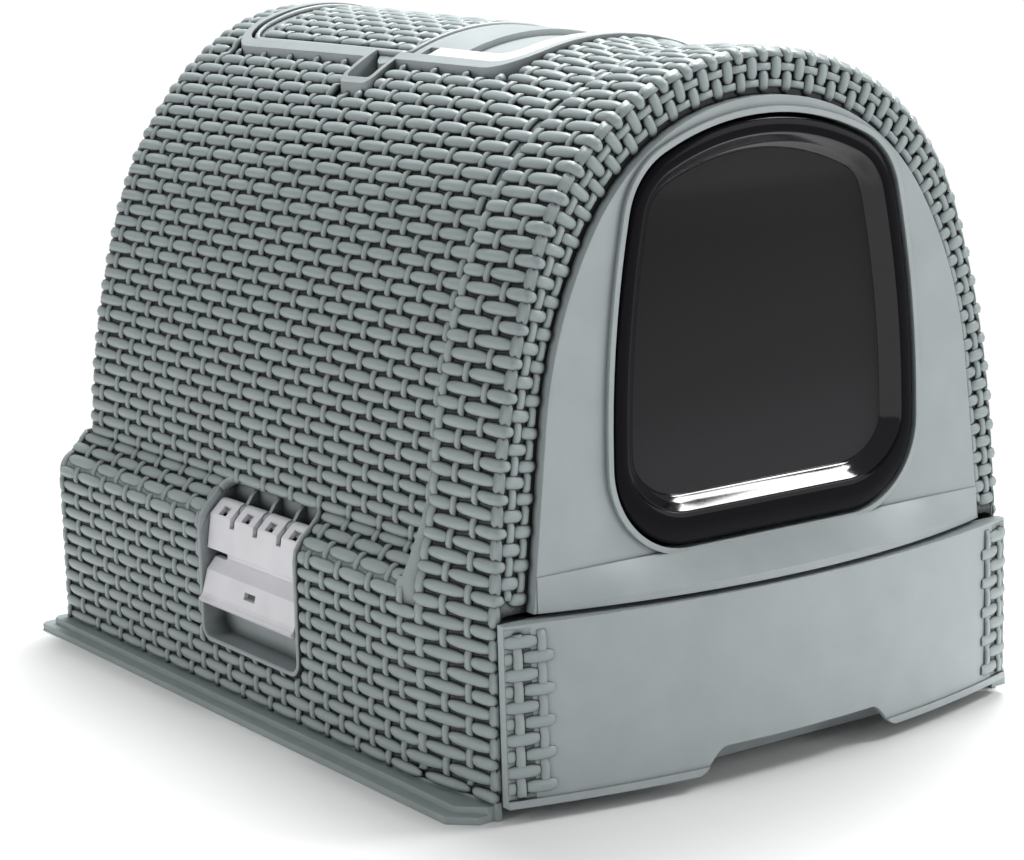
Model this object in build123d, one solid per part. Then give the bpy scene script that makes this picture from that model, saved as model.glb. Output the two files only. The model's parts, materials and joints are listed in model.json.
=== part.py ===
from build123d import *
from functools import lru_cache
from math import cos, radians, sin, tan
import os

# Millimetres. +Z is up, the door faces -Y, X runs across. The origin is under the middle, on the floor.

# Overall
LENGTH = 510.0
WIDTH = 385.0
WALL = 3.0

# Roof: an arch of three tangent arcs a side, from the crown outwards, that changes evenly from front to rear
ROOF_ANGLES = (33.0, 70.0, 87.0)
ROOF_FRONT_Y = -158.0
ROOF_FRONT_CROWN = 362.8
ROOF_FRONT_RADII = (163.0, 96.0, 562.0)
ROOF_REAR_Y = 240.0
ROOF_REAR_CROWN = 379.3
ROOF_REAR_RADII = (103.0, 185.0, 502.0)
ROOF_REAR_EDGE = 18.0
ROOF_FOOT_Z = 90.0

# Front band: the wider arch that frames the front
FRONT_Y = -222.5
REAR_Y = 242.5
BAND_CROWN = 365.2
BAND_RADII = (166.8, 131.5, 485.5)
BAND_ANGLES = (23.9, 70.0, 85.0)
BAND_BACK_Y = -150.0
FRONT_MARGIN = 10.0  # how far cuts start in front of the front face
ARM_ROOM = (16.0, 9.2, 20.0)  # space that the handle's arm turns in
ARM_ROOM_Y = 3.4
BAND_EDGE = (
    (-153.0, 112.0), (-160.0, 145.0), (-164.0, 190.0), (-166.0, 235.0), (-172.0, 290.0), (-173.0, 352.0),
)
BAND_FLARE_Z = 106.0
BAND_FLOOR_X = 171.0

# Lower bulge, its sloping shelf and the skirt on the floor
BULGE_X = 178.5
SHELF_EDGE_Z = 102.0
SHELF_ROOT = (158.0, 126.0)
SKIRT_STEPS = ((0.0, 4.0, 0.0), (4.0, 4.0, 6.0))  # bottom, height, inset
SKIRT_CHAMFER = 12.0

# Fascia and door
FASCIA_Y = -229.0
FASCIA_CROWN = 344.0
FASCIA_RADII = (139.0, 120.0, 223.0)
FASCIA_ANGLES = (16.6, 58.1, 83.3)
FASCIA_FLOOR = (149.8, 103.0)
DOOR_CROWN = 338.4
DOOR_RADII = (157.0, 43.7, 555.0)
DOOR_ANGLES = (25.4, 77.6, 90.0)
DOOR_BOTTOM_Z = 118.0
DOOR_CORNER_R = 50.0
LIP = 3.0
LIP_Y = -231.5
RING_BACK_Y = -220.0
SILL_TOP_Z = 121.0
SILL_LIP_Z = 107.0
SILL_BULGE_Y = -253.5

# Swing flap
FLAP_GAP = 2.0
FLAP_BORDER = 15.0
FLAP_FRONT_Y = -231.0
FLAP_BACK_Y = -220.0
FLAP_PANEL = 2.5
FLAP_AXIS = (-225.5, 293.0)  # y, z
FLAP_PIN_R = 2.0
FLAP_PIN_SPAN = (79.0, 93.5)  # x

# Litter tray and its front
TRAY_X = 155.0
TRAY_RIM_X = 162.0
TRAY_FRONT_Y = -225.0
TRAY_BACK_Y = 232.0
TRAY_BASE_Z = 1.0
TRAY_TOP_Z = 98.0
TRAY_CORNER_R = 28.0
RIM_DROP = 12.0
FRONT_HALF = 169.0
FRONT_TOP_Z = 100.5
FRONT_BASE_Z = 8.0
FRONT_END_Y = -230.0
FRONT_MID_Y = -255.0
STRIP = 25.0
GRIP_WIDE = 66.5
GRIP_NARROW = 50.0
GRIP_TOP_Z = 21.0

# Side latches, given for the +X side
LATCH_Y = 3.0
LATCH_HALF = 51.6
COLLAR_HALF = 54.5
COLLAR_WALL = 2.5
COLLAR_BASE_Z = 35.0
COLLAR_TOP_Z = 127.0
COLLAR_X = 181.0
COLLAR_SLOPE = ((179.5, 98.0), (175.5, 104.5), (163.0, 119.5), (158.0, 127.0))  # x, z
POCKET_HIGH_X = 155.5
POCKET_STEP_Z = 99.5
POCKET_X = 166.5
WINDOW = (77.0, 90.5)  # z
LATCH_AXIS = (163.5, 110.5)  # x, z
LATCH_PIN_R = 2.0
LATCH_SKIN = 2.6
RIBS = (-26.0, 0.0, 26.0)
HOOKS = (-28.0, 28.0)

# Top opening, lid, compartment and carry handle
OPEN_X = 62.3
OPEN_FRONT_Y = -98.0
OPEN_REAR_Y = 191.8
OPEN_CORNER_R = 19.0
TRIM = 6.5
TRIM_TOP = -6.5  # insets from the roof's surface: a negative one stands proud of it
SEAT = 2.7  # top of the ledge that the panel and the compartment sit on
LID_X = 61.5
LID_Y = (3.0, 190.4)
LID_TOP = -3.3
LID_UNDER = -0.3
FLANGE_TOP = 0.1
LID_HINGE_Y = 187.5
LID_PIN_DEPTH = 2.2
LID_PIN_R = 1.5
LID_KNUCKLE = 9.0
LUG = 4.0
FINGER_Y = (9.0, 34.0)
FINGER_X = 84.0
FINGER_DEPTH = 12.0
FINGER_WALL = 4.0
TUB_X = 53.5
TUB_Y = (10.5, 183.0)
TUB_FLOOR_Z = 328.0
TUB_WALL = 2.5
FILTER = (90.0, 140.0, 10.0)
BAIL_X = 61.3
BAIL_WIDTH = 8.5
BAIL_TOP = -5.8
BAIL_UNDER = -1.3
BAIL_PIN_DEPTH = 1.6
BAIL_AXIS_Y = -16.0
BAIL_FRONT_Y = -96.0
BAIL_BAR = 12.5
BAIL_PIN_R = 1.5
BAIL_EYE_R = 3.1
BAIL_EYE_WIDTH = 6.8
PAD_X = 51.6
PAD_TOP = -4.8
PAD_LOW = -1.3
BASE_TOP = -0.1
PAD_FRONT_Y = -80.0
PAD_STEP_Y = -41.0
RUN_CLEAR = 0.06  # radial clearance of a pin in the piece that turns on it


def tangent_arcs(crown, radii, angles):
    """One half of an arch as (start, middle, end) points in x and z, from the crown outwards."""
    arcs = []
    x, z, start = 0.0, crown, 0.0
    for radius, end in zip(radii, angles):
        centre_x = x - radius * sin(radians(start))
        centre_z = z - radius * cos(radians(start))
        points = [
            (centre_x + radius * sin(radians(turn)), centre_z + radius * cos(radians(turn)))
            for turn in (start, (start + end) / 2, end)
        ]
        arcs.append(points)
        (x, z), start = points[2], end
    return arcs


def outline(*curves):
    """A wire through curves that meet end to end."""
    return Wire([edge for curve in curves for edge in curve.edges()])


def arch_wire(y, arcs, feet):
    """The closed outline of an arch at y: arcs over the top, then the feet's points down each side."""
    edges = [ThreePointArc(*[(x, y, z) for x, z in arc]) for arc in arcs]
    corners = [arcs[-1][2], *feet]
    edges += [Line((a[0], y, a[1]), (b[0], y, b[1])) for a, b in zip(corners, corners[1:])]
    mirrored = [edge.mirror(Plane.YZ) for edge in edges]
    last = corners[-1]
    floor = Line((last[0], y, last[1]), (-last[0], y, last[1]))
    return Wire([*edges, floor, *mirrored])


def roof_wire(y, inset):
    share = (y - ROOF_FRONT_Y) / (ROOF_REAR_Y - ROOF_FRONT_Y)
    crown = ROOF_FRONT_CROWN + share * (ROOF_REAR_CROWN - ROOF_FRONT_CROWN) - inset
    radii = [a + share * (b - a) - inset for a, b in zip(ROOF_FRONT_RADII, ROOF_REAR_RADII)]
    arcs = tangent_arcs(crown, radii, ROOF_ANGLES)
    x, z = arcs[-1][2]
    foot = (x + (z - ROOF_FOOT_Z) / tan(radians(ROOF_ANGLES[-1])), ROOF_FOOT_Z)
    return arch_wire(y, arcs, [foot])


@lru_cache
def roof(inset, front=FRONT_Y, back=REAR_Y):
    """The space under the roof's surface, drawn in by inset."""
    return Solid.make_loft([roof_wire(front, inset), roof_wire(back, inset)], True)


def round_rear(space, radius):
    """Rounds the edge where a roof space meets the rear wall."""
    rear = space.faces().sort_by(Axis.Y)[-1]
    arch = rear.edges().sort_by(Axis.Z)[1:]
    return fillet(arch, radius)


def roof_skin(top, bottom, plan):
    """The layer of the roof between two insets, inside a plan outline."""
    return (roof(top) - roof(bottom)) & extrude(plan, 500)


def roof_height(x, y, inset=0.0):
    """Height of the roof's surface at x, y."""
    post = Pos(x, y, 300) * Box(0.02, 0.02, 200)
    return (post & roof(inset)).bounding_box().max.Z


def band_wire(y, inset):
    share = (y - FRONT_Y) / (ROOF_FRONT_Y - FRONT_Y)
    arcs = tangent_arcs(BAND_CROWN - inset, [r - inset for r in BAND_RADII], BAND_ANGLES)
    flare = 168.5 + share * 9.5 - inset
    floor = BAND_FLOOR_X + share * (BULGE_X - BAND_FLOOR_X) - inset
    return arch_wire(y, arcs, [(flare, BAND_FLARE_Z), (floor, 0)])


def band(inset, front=FRONT_Y):
    """The wider arch at the front. Its back edge leans forward up the sides."""
    arch = Solid.make_loft([band_wire(front, inset), band_wire(BAND_BACK_Y, inset)], True)
    back = Spline(*[(0, y - inset, z) for y, z in BAND_EDGE])
    side = outline(
        back,
        Polyline(back @ 1, (0, BAND_EDGE[-1][0] - inset, 420), (0, -100, 420), (0, -100, 112), back @ 0),
    )
    return arch - extrude(Face(side), 250, both=True)


def bulge(inset, front, back):
    """The wide lower body with its sloping shelf."""
    side = BULGE_X - inset
    half = [(0, 0), (side, 0), (side - 0.5, SHELF_EDGE_Z)]
    rise = ThreePointArc(
        (side - 0.5, 0, SHELF_EDGE_Z), (side - 3, 0, 109.5 - inset), (side - 9, 0, 114 - inset)
    )
    root = (SHELF_ROOT[0] - inset, 0, SHELF_ROOT[1] - inset)
    section = outline(
        Polyline(*[(x, 0, z) for x, z in half]),
        rise,
        Polyline(rise @ 1, root, (0, 0, root[2]), (0, 0, 0)),
    )
    body = Pos(0, front, 0) * extrude(Face(section), back - front, dir=(0, 1, 0))
    return body + body.mirror(Plane.YZ)


def skirt():
    """Stepped flange along the floor, round the sides and the rear."""
    steps = []
    front = FRONT_Y
    for base, height, inset in SKIRT_STEPS:
        x = WIDTH / 2 - inset
        back = LENGTH / 2 - inset
        plan = Polyline(
            (BULGE_X - 8, front + 2), (x - SKIRT_CHAMFER, front + 2), (x, front + 2 + SKIRT_CHAMFER),
            (x, back - 4), (x - 4, back), (0, back), (0, REAR_Y - 2), (BULGE_X - 8, REAR_Y - 2), close=True,
        )
        step = Pos(0, 0, base) * extrude(make_face(plan), height)
        steps += [step, step.mirror(Plane.YZ)]
    return steps


def fascia_outline(grow=0.0):
    """The fascia's outline in the plane of the front, grown by an amount."""
    arcs = tangent_arcs(FASCIA_CROWN, FASCIA_RADII, FASCIA_ANGLES)
    face = Face(arch_wire(0, arcs, [FASCIA_FLOOR]))
    return Sketch() + offset(face, grow, kind=Kind.INTERSECTION) if grow else Sketch() + face


def door_outline(shrink=0.0):
    """The door's outline in the plane of the front, shrunk by an amount."""
    arcs = tangent_arcs(DOOR_CROWN, DOOR_RADII, DOOR_ANGLES)
    x, z = arcs[-1][2]
    low = DOOR_BOTTOM_Z + DOOR_CORNER_R
    bend = DOOR_CORNER_R * (1 - cos(radians(45)))
    half = [ThreePointArc(*[(px, 0, pz) for px, pz in arc]) for arc in arcs]
    half.append(Line((x, 0, z), (x, 0, low)))
    half.append(
        ThreePointArc(
            (x, 0, low), (x - bend, 0, DOOR_BOTTOM_Z + bend), (x - DOOR_CORNER_R, 0, DOOR_BOTTOM_Z)
        )
    )
    half.append(Line((x - DOOR_CORNER_R, 0, DOOR_BOTTOM_Z), (0, 0, DOOR_BOTTOM_Z)))
    face = Face(Wire([*half, *[edge.mirror(Plane.YZ) for edge in half]]))
    return Sketch() + offset(face, -shrink) if shrink else Sketch() + face


def slab(face, front, back):
    """A face in the plane of the front, thickened from y front to y back."""
    return Pos(0, front, 0) * extrude(face, back - front, dir=(0, 1, 0))


def opening_plan(grow=0.0):
    """Plan of the opening in the roof that takes the lid and the handle panel."""
    length = OPEN_REAR_Y - OPEN_FRONT_Y
    middle = (OPEN_REAR_Y + OPEN_FRONT_Y) / 2
    size = (2 * (OPEN_X + grow), length + 2 * grow)
    return Pos(0, middle) * RectangleRounded(*size, OPEN_CORNER_R + grow)


def finger_plan(grow=0.0):
    """Plan of the two finger pockets beside the lid."""
    y = (FINGER_Y[0] + FINGER_Y[1]) / 2
    size = (FINGER_X - OPEN_X + 10 + 2 * grow, FINGER_Y[1] - FINGER_Y[0] + 2 * grow)
    x = (FINGER_X + OPEN_X - 10) / 2
    return Sketch() + [Pos(side * x, y) * RectangleRounded(*size, 3 + grow) for side in (1, -1)]


def hinge_axis(x, z, radius, span, y=LATCH_Y):
    """A rod along Y at x, z, half as long as span each way from y."""
    return Pos(x, y, z) * Rot(90, 0, 0) * Cylinder(radius, 2 * span)


def cross_rod(y, z, radius, low, high):
    """A rod along X at y, z from x low to x high."""
    return Pos((low + high) / 2, y, z) * Rot(0, 90, 0) * Cylinder(radius, high - low)


def both(shape):
    return [shape, shape.mirror(Plane.YZ)]


def collar(half, wall):
    """The rounded housing round a side latch, or its pocket, as an extruded side profile."""
    base, top, x = COLLAR_BASE_Z + wall, COLLAR_TOP_Z - wall, COLLAR_X
    low_back = POCKET_X if wall else POCKET_X - WALL
    high_back = POCKET_HIGH_X if wall else POCKET_HIGH_X - WALL
    step = POCKET_STEP_Z + wall
    slope = [(px + wall, 0, min(pz, top)) for px, pz in COLLAR_SLOPE]
    profile = Polyline(
        (low_back, 0, base), (x + wall, 0, base), *slope,
        (high_back, 0, top), (high_back, 0, step), (low_back, 0, step), close=True,
    )
    body = extrude(Face(Wire(profile.edges())), half, dir=(0, 1, 0), both=True)
    corners = body.edges().filter_by(Axis.X).sort_by(Axis.Z)[:2]
    return Pos(0, LATCH_Y, 0) * fillet(corners, 9 - wall)


def collar_room():
    """Room that a latch's housing takes in the hood, with the hood's skin over it taken away."""
    top = COLLAR_TOP_Z
    profile = Polyline(
        (POCKET_X, 0, 90), (COLLAR_X + 9, 0, 90), (COLLAR_X + 9, 0, top), (POCKET_HIGH_X, 0, top),
        (POCKET_HIGH_X, 0, POCKET_STEP_Z + 1), (POCKET_X, 0, POCKET_STEP_Z + 1), close=True,
    )
    over = extrude(Face(Wire(profile.edges())), COLLAR_HALF, dir=(0, 1, 0), both=True)
    return collar(COLLAR_HALF, 0) + Pos(0, LATCH_Y, 0) * over


def latch_rib(y):
    """Thin rib behind a gap between knuckles, from the pin to the pocket's back."""
    back, (x, z) = POCKET_HIGH_X - 0.5, LATCH_AXIS
    profile = Polyline(
        (back, 0, POCKET_STEP_Z + 1), (x, 0, z - 4), (x + 3, 0, z), (x - 3, 0, z + 9), (back, 0, z + 14),
        close=True,
    )
    return Pos(0, y, 0) * extrude(Face(Wire(profile.edges())), 1.5, dir=(0, 1, 0), both=True)


def latch_frame():
    """Housing of the latch: a pocket with a window for the hooks, and ribs that carry the pin."""
    x, z = LATCH_AXIS
    frame = collar(COLLAR_HALF, 0) - collar(COLLAR_HALF - COLLAR_WALL, COLLAR_WALL)
    window_size = (3 * WALL, 2 * (COLLAR_HALF - 8), WINDOW[1] - WINDOW[0])
    frame = frame - Pos(POCKET_X - WALL, LATCH_Y, sum(WINDOW) / 2) * Box(*window_size)
    for at in RIBS:
        frame = frame + latch_rib(LATCH_Y + at) + hinge_axis(x, z, 4.2, 1.5, LATCH_Y + at)
    return frame - hinge_axis(x, z, LATCH_PIN_R, COLLAR_HALF - 0.8)


def hood_shell():
    """Roof, front band, lower body, rear wall and skirt in one moulding, open for the rim and the latches."""
    outside = round_rear(roof(0.0), ROOF_REAR_EDGE) + band(0.0) + bulge(0.0, ROOF_FRONT_Y, REAR_Y)
    outside = outside + skirt()
    lower = bulge(WALL, FRONT_Y + WALL, REAR_Y - WALL)
    lower = lower & Pos(0, 0, 60) * extrude(inner_plan(), 200, both=True)
    bay = Pos(0, FRONT_Y - FRONT_MARGIN, -1) * Box(
        2 * (BAND_FLOOR_X - WALL), 40, FASCIA_FLOOR[1] + 1, align=(Align.CENTER, Align.MIN, Align.MIN)
    )
    bay = fillet(bay.edges().filter_by(Axis.Y).group_by(Axis.Z)[-1], 7)
    upper = round_rear(roof(WALL, FRONT_Y + WALL, REAR_Y - WALL), ROOF_REAR_EDGE - WALL)
    shell = outside - band(WALL, FRONT_Y + WALL) - upper - lower - bay
    shell = shell - slab(fascia_outline(0.3), FRONT_Y - FRONT_MARGIN, FRONT_Y + 2 * WALL)
    shell = shell - extrude(opening_plan(TRIM) + finger_plan(FINGER_WALL), 500)
    return shell - both(collar_room())


def top_rim():
    """Raised frame of the top opening, with its ledge, finger pockets and the lid's lugs."""
    ledge_hole = Pos(0, (TUB_Y[0] + TUB_Y[1]) / 2) * Rectangle(2 * TUB_X + 1, TUB_Y[1] - TUB_Y[0] + 1)
    rim = roof_skin(TRIM_TOP, SEAT + WALL, opening_plan(TRIM) - opening_plan())
    rim = rim + roof_skin(SEAT, SEAT + WALL, opening_plan(1) - ledge_hole)
    rim = rim + roof_skin(TRIM_TOP, FINGER_DEPTH + WALL, finger_plan(FINGER_WALL) - opening_plan())
    rim = rim - roof_skin(TRIM_TOP - 2, FINGER_DEPTH, finger_plan() - opening_plan(-0.2))
    rim = rim - bail_bores(BAIL_PIN_R)
    lugs = [lid_lug(side) for side in (1, -1)]
    return rim + lugs - lid_rod(LID_PIN_R)


def inner_plan():
    """Plan of the space inside the lower walls."""
    return make_face(
        Polyline(
            (BAND_FLOOR_X - WALL, FRONT_Y - 20), (BAND_FLOOR_X - WALL, FRONT_Y), (BULGE_X - WALL, ROOF_FRONT_Y),
            (BULGE_X - WALL, REAR_Y - WALL), (WALL - BULGE_X, REAR_Y - WALL), (WALL - BULGE_X, ROOF_FRONT_Y),
            (WALL - BAND_FLOOR_X, FRONT_Y), (WALL - BAND_FLOOR_X, FRONT_Y - 20), close=True,
        )
    )


def front_fascia():
    """Smooth front plate with the door's lip, a flange behind the band and the flared sill."""
    plate = slab(fascia_outline(), FASCIA_Y, FASCIA_Y + WALL)
    edge = slab(fascia_outline() - fascia_outline(-WALL), FASCIA_Y + WALL, FRONT_Y + WALL)
    flange = slab(fascia_outline(8) - fascia_outline(-WALL), FRONT_Y + WALL, FRONT_Y + 2 * WALL)
    flange = flange & Pos(0, 0, 303) * Box(600, 600, 400)
    ring = slab(door_outline(), LIP_Y, FASCIA_Y)
    ring = ring + slab(door_outline(-4) & fascia_outline(), FASCIA_Y, RING_BACK_Y)
    body = plate + edge + flange + ring + sill(0.0, FASCIA_Y + WALL)
    body = body - sill(WALL, FASCIA_Y + 8)
    body = body - slab(door_outline(LIP), LIP_Y - 30, RING_BACK_Y + 10)
    return body - flap_rods(FLAP_PIN_R + RUN_CLEAR)


def sill(inset, back):
    """The flare under the door, which swells forward to meet the drawer's curve."""

    def crescent(z, bulge_y):
        ends = FASCIA_FLOOR[0] - 2 - inset
        edge = FASCIA_Y - 0.5 + inset
        arc = ThreePointArc((-ends, edge, z), (0, bulge_y + inset, z), (ends, edge, z))
        return outline(arc, Polyline(arc @ 1, (ends, back, z), (-ends, back, z), arc @ 0))

    base = FASCIA_FLOOR[1] - (1 if inset else 0)
    low = crescent(base, SILL_BULGE_Y)
    mid = crescent(SILL_LIP_Z - inset / 2, SILL_BULGE_Y)
    top = crescent(SILL_TOP_Z - inset, FASCIA_Y - 1.5)
    return Solid.make_loft([low, mid], True) + Solid.make_loft([mid, top], True)


def flap_rods(radius):
    y, z = FLAP_AXIS
    return both(cross_rod(y, z, radius, *FLAP_PIN_SPAN))


def flap_frame():
    """Glossy border of the flap, which slopes back to the panel."""
    outer = door_outline(LIP + FLAP_GAP)
    inner = door_outline(LIP + FLAP_GAP + FLAP_BORDER)
    rim = door_outline(LIP + FLAP_GAP + FLAP_BORDER * 0.55)
    frame = slab(outer - rim, FLAP_FRONT_Y, FLAP_BACK_Y) + slab(rim - inner, FLAP_BACK_Y - 5, FLAP_BACK_Y)
    return frame - slab(panel_outline(), FLAP_BACK_Y - FLAP_PANEL, FLAP_BACK_Y + 1) - flap_rods(FLAP_PIN_R)


def panel_outline():
    return door_outline(LIP + FLAP_GAP + FLAP_BORDER - 3)


def flap_panel():
    return slab(panel_outline(), FLAP_BACK_Y - FLAP_PANEL, FLAP_BACK_Y)


def tray_box(x, front, back, corner, low, high):
    plan = Pos(0, (front + back) / 2) * RectangleRounded(2 * x, back - front, corner)
    return Pos(0, 0, low) * extrude(plan, high - low)


def litter_tray():
    """Open pan with a turned-down rim that the side latches hook under."""
    span = (TRAY_FRONT_Y, TRAY_BACK_Y)
    grow = TRAY_RIM_X - TRAY_X
    body = tray_box(TRAY_X, *span, TRAY_CORNER_R, TRAY_BASE_Z + 3, TRAY_TOP_Z)
    rim = tray_box(TRAY_RIM_X, span[0], span[1] + grow, TRAY_CORNER_R, TRAY_TOP_Z - RIM_DROP, TRAY_TOP_Z)
    under = tray_box(
        TRAY_RIM_X - 2.5, span[0] - 1, span[1] + grow - 2.5, TRAY_CORNER_R - 2.5,
        TRAY_TOP_Z - RIM_DROP, TRAY_TOP_Z - WALL,
    )
    inside = tray_box(
        TRAY_X - WALL, span[0] + WALL, span[1] - WALL, TRAY_CORNER_R - WALL, TRAY_BASE_Z + 6, TRAY_TOP_Z + 1
    )
    skids = [Pos(side * 110, 0, TRAY_BASE_Z + 2) * Box(16, 380, 4) for side in (1, -1)]
    body = body + (rim - under) + skids - inside
    return body


def tray_front():
    """Bowed front of the drawer: a shell with a grip cut-out and a bead along its foot."""

    def bow(inset, half, low, high, middle=FRONT_MID_Y):
        arc = ThreePointArc((-half, FRONT_END_Y + inset), (0, middle + inset), (half, FRONT_END_Y + inset))
        back = TRAY_FRONT_Y + (1 if inset > 0 else 0)
        plan = make_face([arc, Polyline(arc @ 1, (half, back), (-half, back), arc @ 0)])
        return Pos(0, 0, low) * extrude(plan, high - low)

    shell = bow(0, FRONT_HALF, FRONT_BASE_Z, FRONT_TOP_Z)
    shell = shell + bow(-1, FRONT_HALF, FRONT_BASE_Z, FRONT_BASE_Z + 4)
    shell = shell - bow(WALL, FRONT_HALF - WALL, FRONT_BASE_Z - 1, FRONT_TOP_Z - WALL)
    middle_z = (FRONT_BASE_Z + GRIP_TOP_Z) / 2
    slope = Spline(
        (GRIP_WIDE, 0, FRONT_BASE_Z), ((GRIP_WIDE + GRIP_NARROW) / 2, 0, middle_z), (GRIP_NARROW, 0, GRIP_TOP_Z),
        tangents=[(-1, 0, 0.3), (-1, 0, 0.3)],
    )
    grip = outline(slope, Polyline(slope @ 1, (0, 0, GRIP_TOP_Z), (0, 0, 0), (GRIP_WIDE, 0, 0), slope @ 0))
    half_grip = Pos(0, -300, 0) * extrude(Face(grip), 74, dir=(0, 1, 0))
    return shell - both(half_grip)


def latch():
    """Side latch: knuckles on the pin, a skin that dips to a finger groove, a lip and two hooks."""
    x, z = LATCH_AXIS
    line = Polyline(
        (x + 1.6, z + 3.0), (x + 8.5, z - 3.5), (x + 11.4, 89), (x + 6, 87), (x + 6, 82.5),
        (x + 12.7, 75), (x + 16.1, 62.5), (x + 17.2, 60.2), (x + 19.5, 58.3),
    )
    skin = trace(line, LATCH_SKIN)
    body = Pos(0, LATCH_Y, 0) * extrude(Plane.XZ * skin, LATCH_HALF, both=True)
    body = body + hinge_axis(x, z, 4.6, LATCH_HALF)
    for at in RIBS:
        body = body - Pos(x + 4, LATCH_Y + at, z + 2) * Box(24, 5, 20)
    for at in HOOKS:
        arm = Pos(x + 0.75, LATCH_Y + at, 81.8) * Box(12.5, 14, 2.6)
        barb = Pos(x - 4, LATCH_Y + at, 83) * Box(3, 14, 3)
        body = body + arm + barb
    for at in (-39, -13, 13, 39):
        body = body - Pos(x + 6.3, LATCH_Y + at, z - 0.8) * Rot(0, -48, 0) * Box(5, 8, 6)
    for side in (1, -1):
        body = body - Pos(x + 4, LATCH_Y + side * (LATCH_HALF - 6), 84.5) * Box(9, 14, 5)
    body = body - Pos(x + 15, LATCH_Y, 69) * Box(12, 12, 4)
    return body - hinge_axis(x, z, LATCH_PIN_R + RUN_CLEAR, COLLAR_HALF)


def lid_height():
    return roof_height(0, LID_HINGE_Y) - LID_TOP - LID_PIN_DEPTH


def lid_rod(radius):
    span = LID_KNUCKLE + 0.4 + LUG
    return cross_rod(LID_HINGE_Y, lid_height(), radius, -span, span)


def lid_lug(side):
    """One of the rim's two lugs that hold the lid's pin."""
    low = LID_KNUCKLE + 0.4
    z = lid_height()
    eye = cross_rod(LID_HINGE_Y, z, 2.4, low, low + LUG)
    post = Pos(low + LUG / 2, LID_HINGE_Y + 0.4, z - 3) * Box(LUG, 4, 6)
    lug = (eye + post) - roof(SEAT + 1)
    return lug if side > 0 else lug.mirror(Plane.YZ)


def lid_plan():
    """Plan of the lid with a rounded tab over each finger pocket."""
    body = Pos(0, sum(LID_Y) / 2) * RectangleRounded(2 * LID_X, LID_Y[1] - LID_Y[0], OPEN_CORNER_R - 1)
    front = Pos(0, LID_Y[0] + 20) * RectangleRounded(2 * LID_X, 40, 3)
    tab = make_face(
        [
            Spline((LID_X - 1, 33), (LID_X + 7, 22), (LID_X - 1, 9.5)),
            Line((LID_X - 1, 9.5), (LID_X - 1, 33)),
        ]
    )
    return body + front + tab + tab.mirror(Plane.YZ)


def top_lid():
    """Curved lid over the compartment, hinged at its rear edge."""
    knuckle = cross_rod(LID_HINGE_Y, lid_height(), 2.9, -LID_KNUCKLE, LID_KNUCKLE)
    lid = roof_skin(LID_TOP, LID_UNDER, lid_plan()) + knuckle
    for side in (1, -1):
        x = side * (LID_KNUCKLE + 0.4 + LUG / 2)
        lid = lid - Pos(x, LID_HINGE_Y + 1, lid_height()) * Box(LUG + 0.8, 9, 20)
    return lid - lid_rod(LID_PIN_R + RUN_CLEAR)


def top_compartment():
    """Tub under the lid, hung by its flange, with a slotted floor for the filter."""
    middle = sum(TUB_Y) / 2
    length = TUB_Y[1] - TUB_Y[0]
    well = Pos(0, middle, TUB_FLOOR_Z) * Box(
        2 * TUB_X, length, 80, align=(Align.CENTER, Align.CENTER, Align.MIN)
    )
    hollow = Pos(0, middle, TUB_FLOOR_Z + TUB_WALL) * Box(
        2 * (TUB_X - TUB_WALL), length - 2 * TUB_WALL, 90, align=(Align.CENTER, Align.CENTER, Align.MIN)
    )
    flange_plan = Pos(0, (LID_Y[0] + TUB_Y[1]) / 2) * Rectangle(2 * OPEN_X - 0.8, TUB_Y[1] - LID_Y[0])
    flange = roof_skin(FLANGE_TOP, SEAT, flange_plan & opening_plan(-0.4))
    tub = (well & roof(FLANGE_TOP)) + flange - hollow
    slots = [Pos(0, middle + 14 * k, TUB_FLOOR_Z) * Box(74, 6, 20) for k in range(-4, 5)]
    return tub - slots


def charcoal_filter():
    z = TUB_FLOOR_Z + TUB_WALL + FILTER[2] / 2
    pad = Pos(0, sum(TUB_Y) / 2, z) * Box(*FILTER)
    return fillet(pad.edges().filter_by(Axis.Z), 6)


def filter_cover():
    """Barred frame that keeps the filter on the tub's floor."""
    z = TUB_FLOOR_Z + TUB_WALL + FILTER[2] + 1.5
    size = (2 * (TUB_X - TUB_WALL) - 1, TUB_Y[1] - TUB_Y[0] - 2 * TUB_WALL - 1)
    cover = Pos(0, sum(TUB_Y) / 2, z) * Box(*size, 3)
    skirt_z = TUB_FLOOR_Z + TUB_WALL + FILTER[2] / 2
    walls = Pos(0, sum(TUB_Y) / 2, skirt_z) * (
        Box(*size, FILTER[2]) - Box(size[0] - 4, size[1] - 4, FILTER[2] + 1)
    )
    slots = [Pos(0, sum(TUB_Y) / 2 + 14 * k, z) * Box(74, 7, 20) for k in range(-4, 5)]
    return cover + walls - slots


def bail_axis_z():
    top = roof_height(BAIL_X - BAIL_WIDTH / 2, BAIL_AXIS_Y) - LID_TOP
    return top - BAIL_PIN_DEPTH


def bail_bores(radius):
    return both(cross_rod(BAIL_AXIS_Y, bail_axis_z(), radius, PAD_X - 1.2, OPEN_X + 1.6))


def bail_plan(grow=0.0):
    """Plan of the U-shaped handle folded forward, grown by an amount."""
    x = BAIL_X + grow
    front, rear = BAIL_FRONT_Y - grow, BAIL_AXIS_Y + 4
    inner_x = BAIL_X - BAIL_WIDTH - grow
    inner_front = BAIL_FRONT_Y + BAIL_BAR + grow
    outer = Pos(0, (front + rear) / 2) * RectangleRounded(2 * x, rear - front, 18)
    square = Pos(0, rear - 15) * Rectangle(2 * x, 30)
    hole = Pos(0, (inner_front + rear + 40) / 2) * RectangleRounded(2 * inner_x, rear + 40 - inner_front, 12)
    return outer + square - hole


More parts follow.
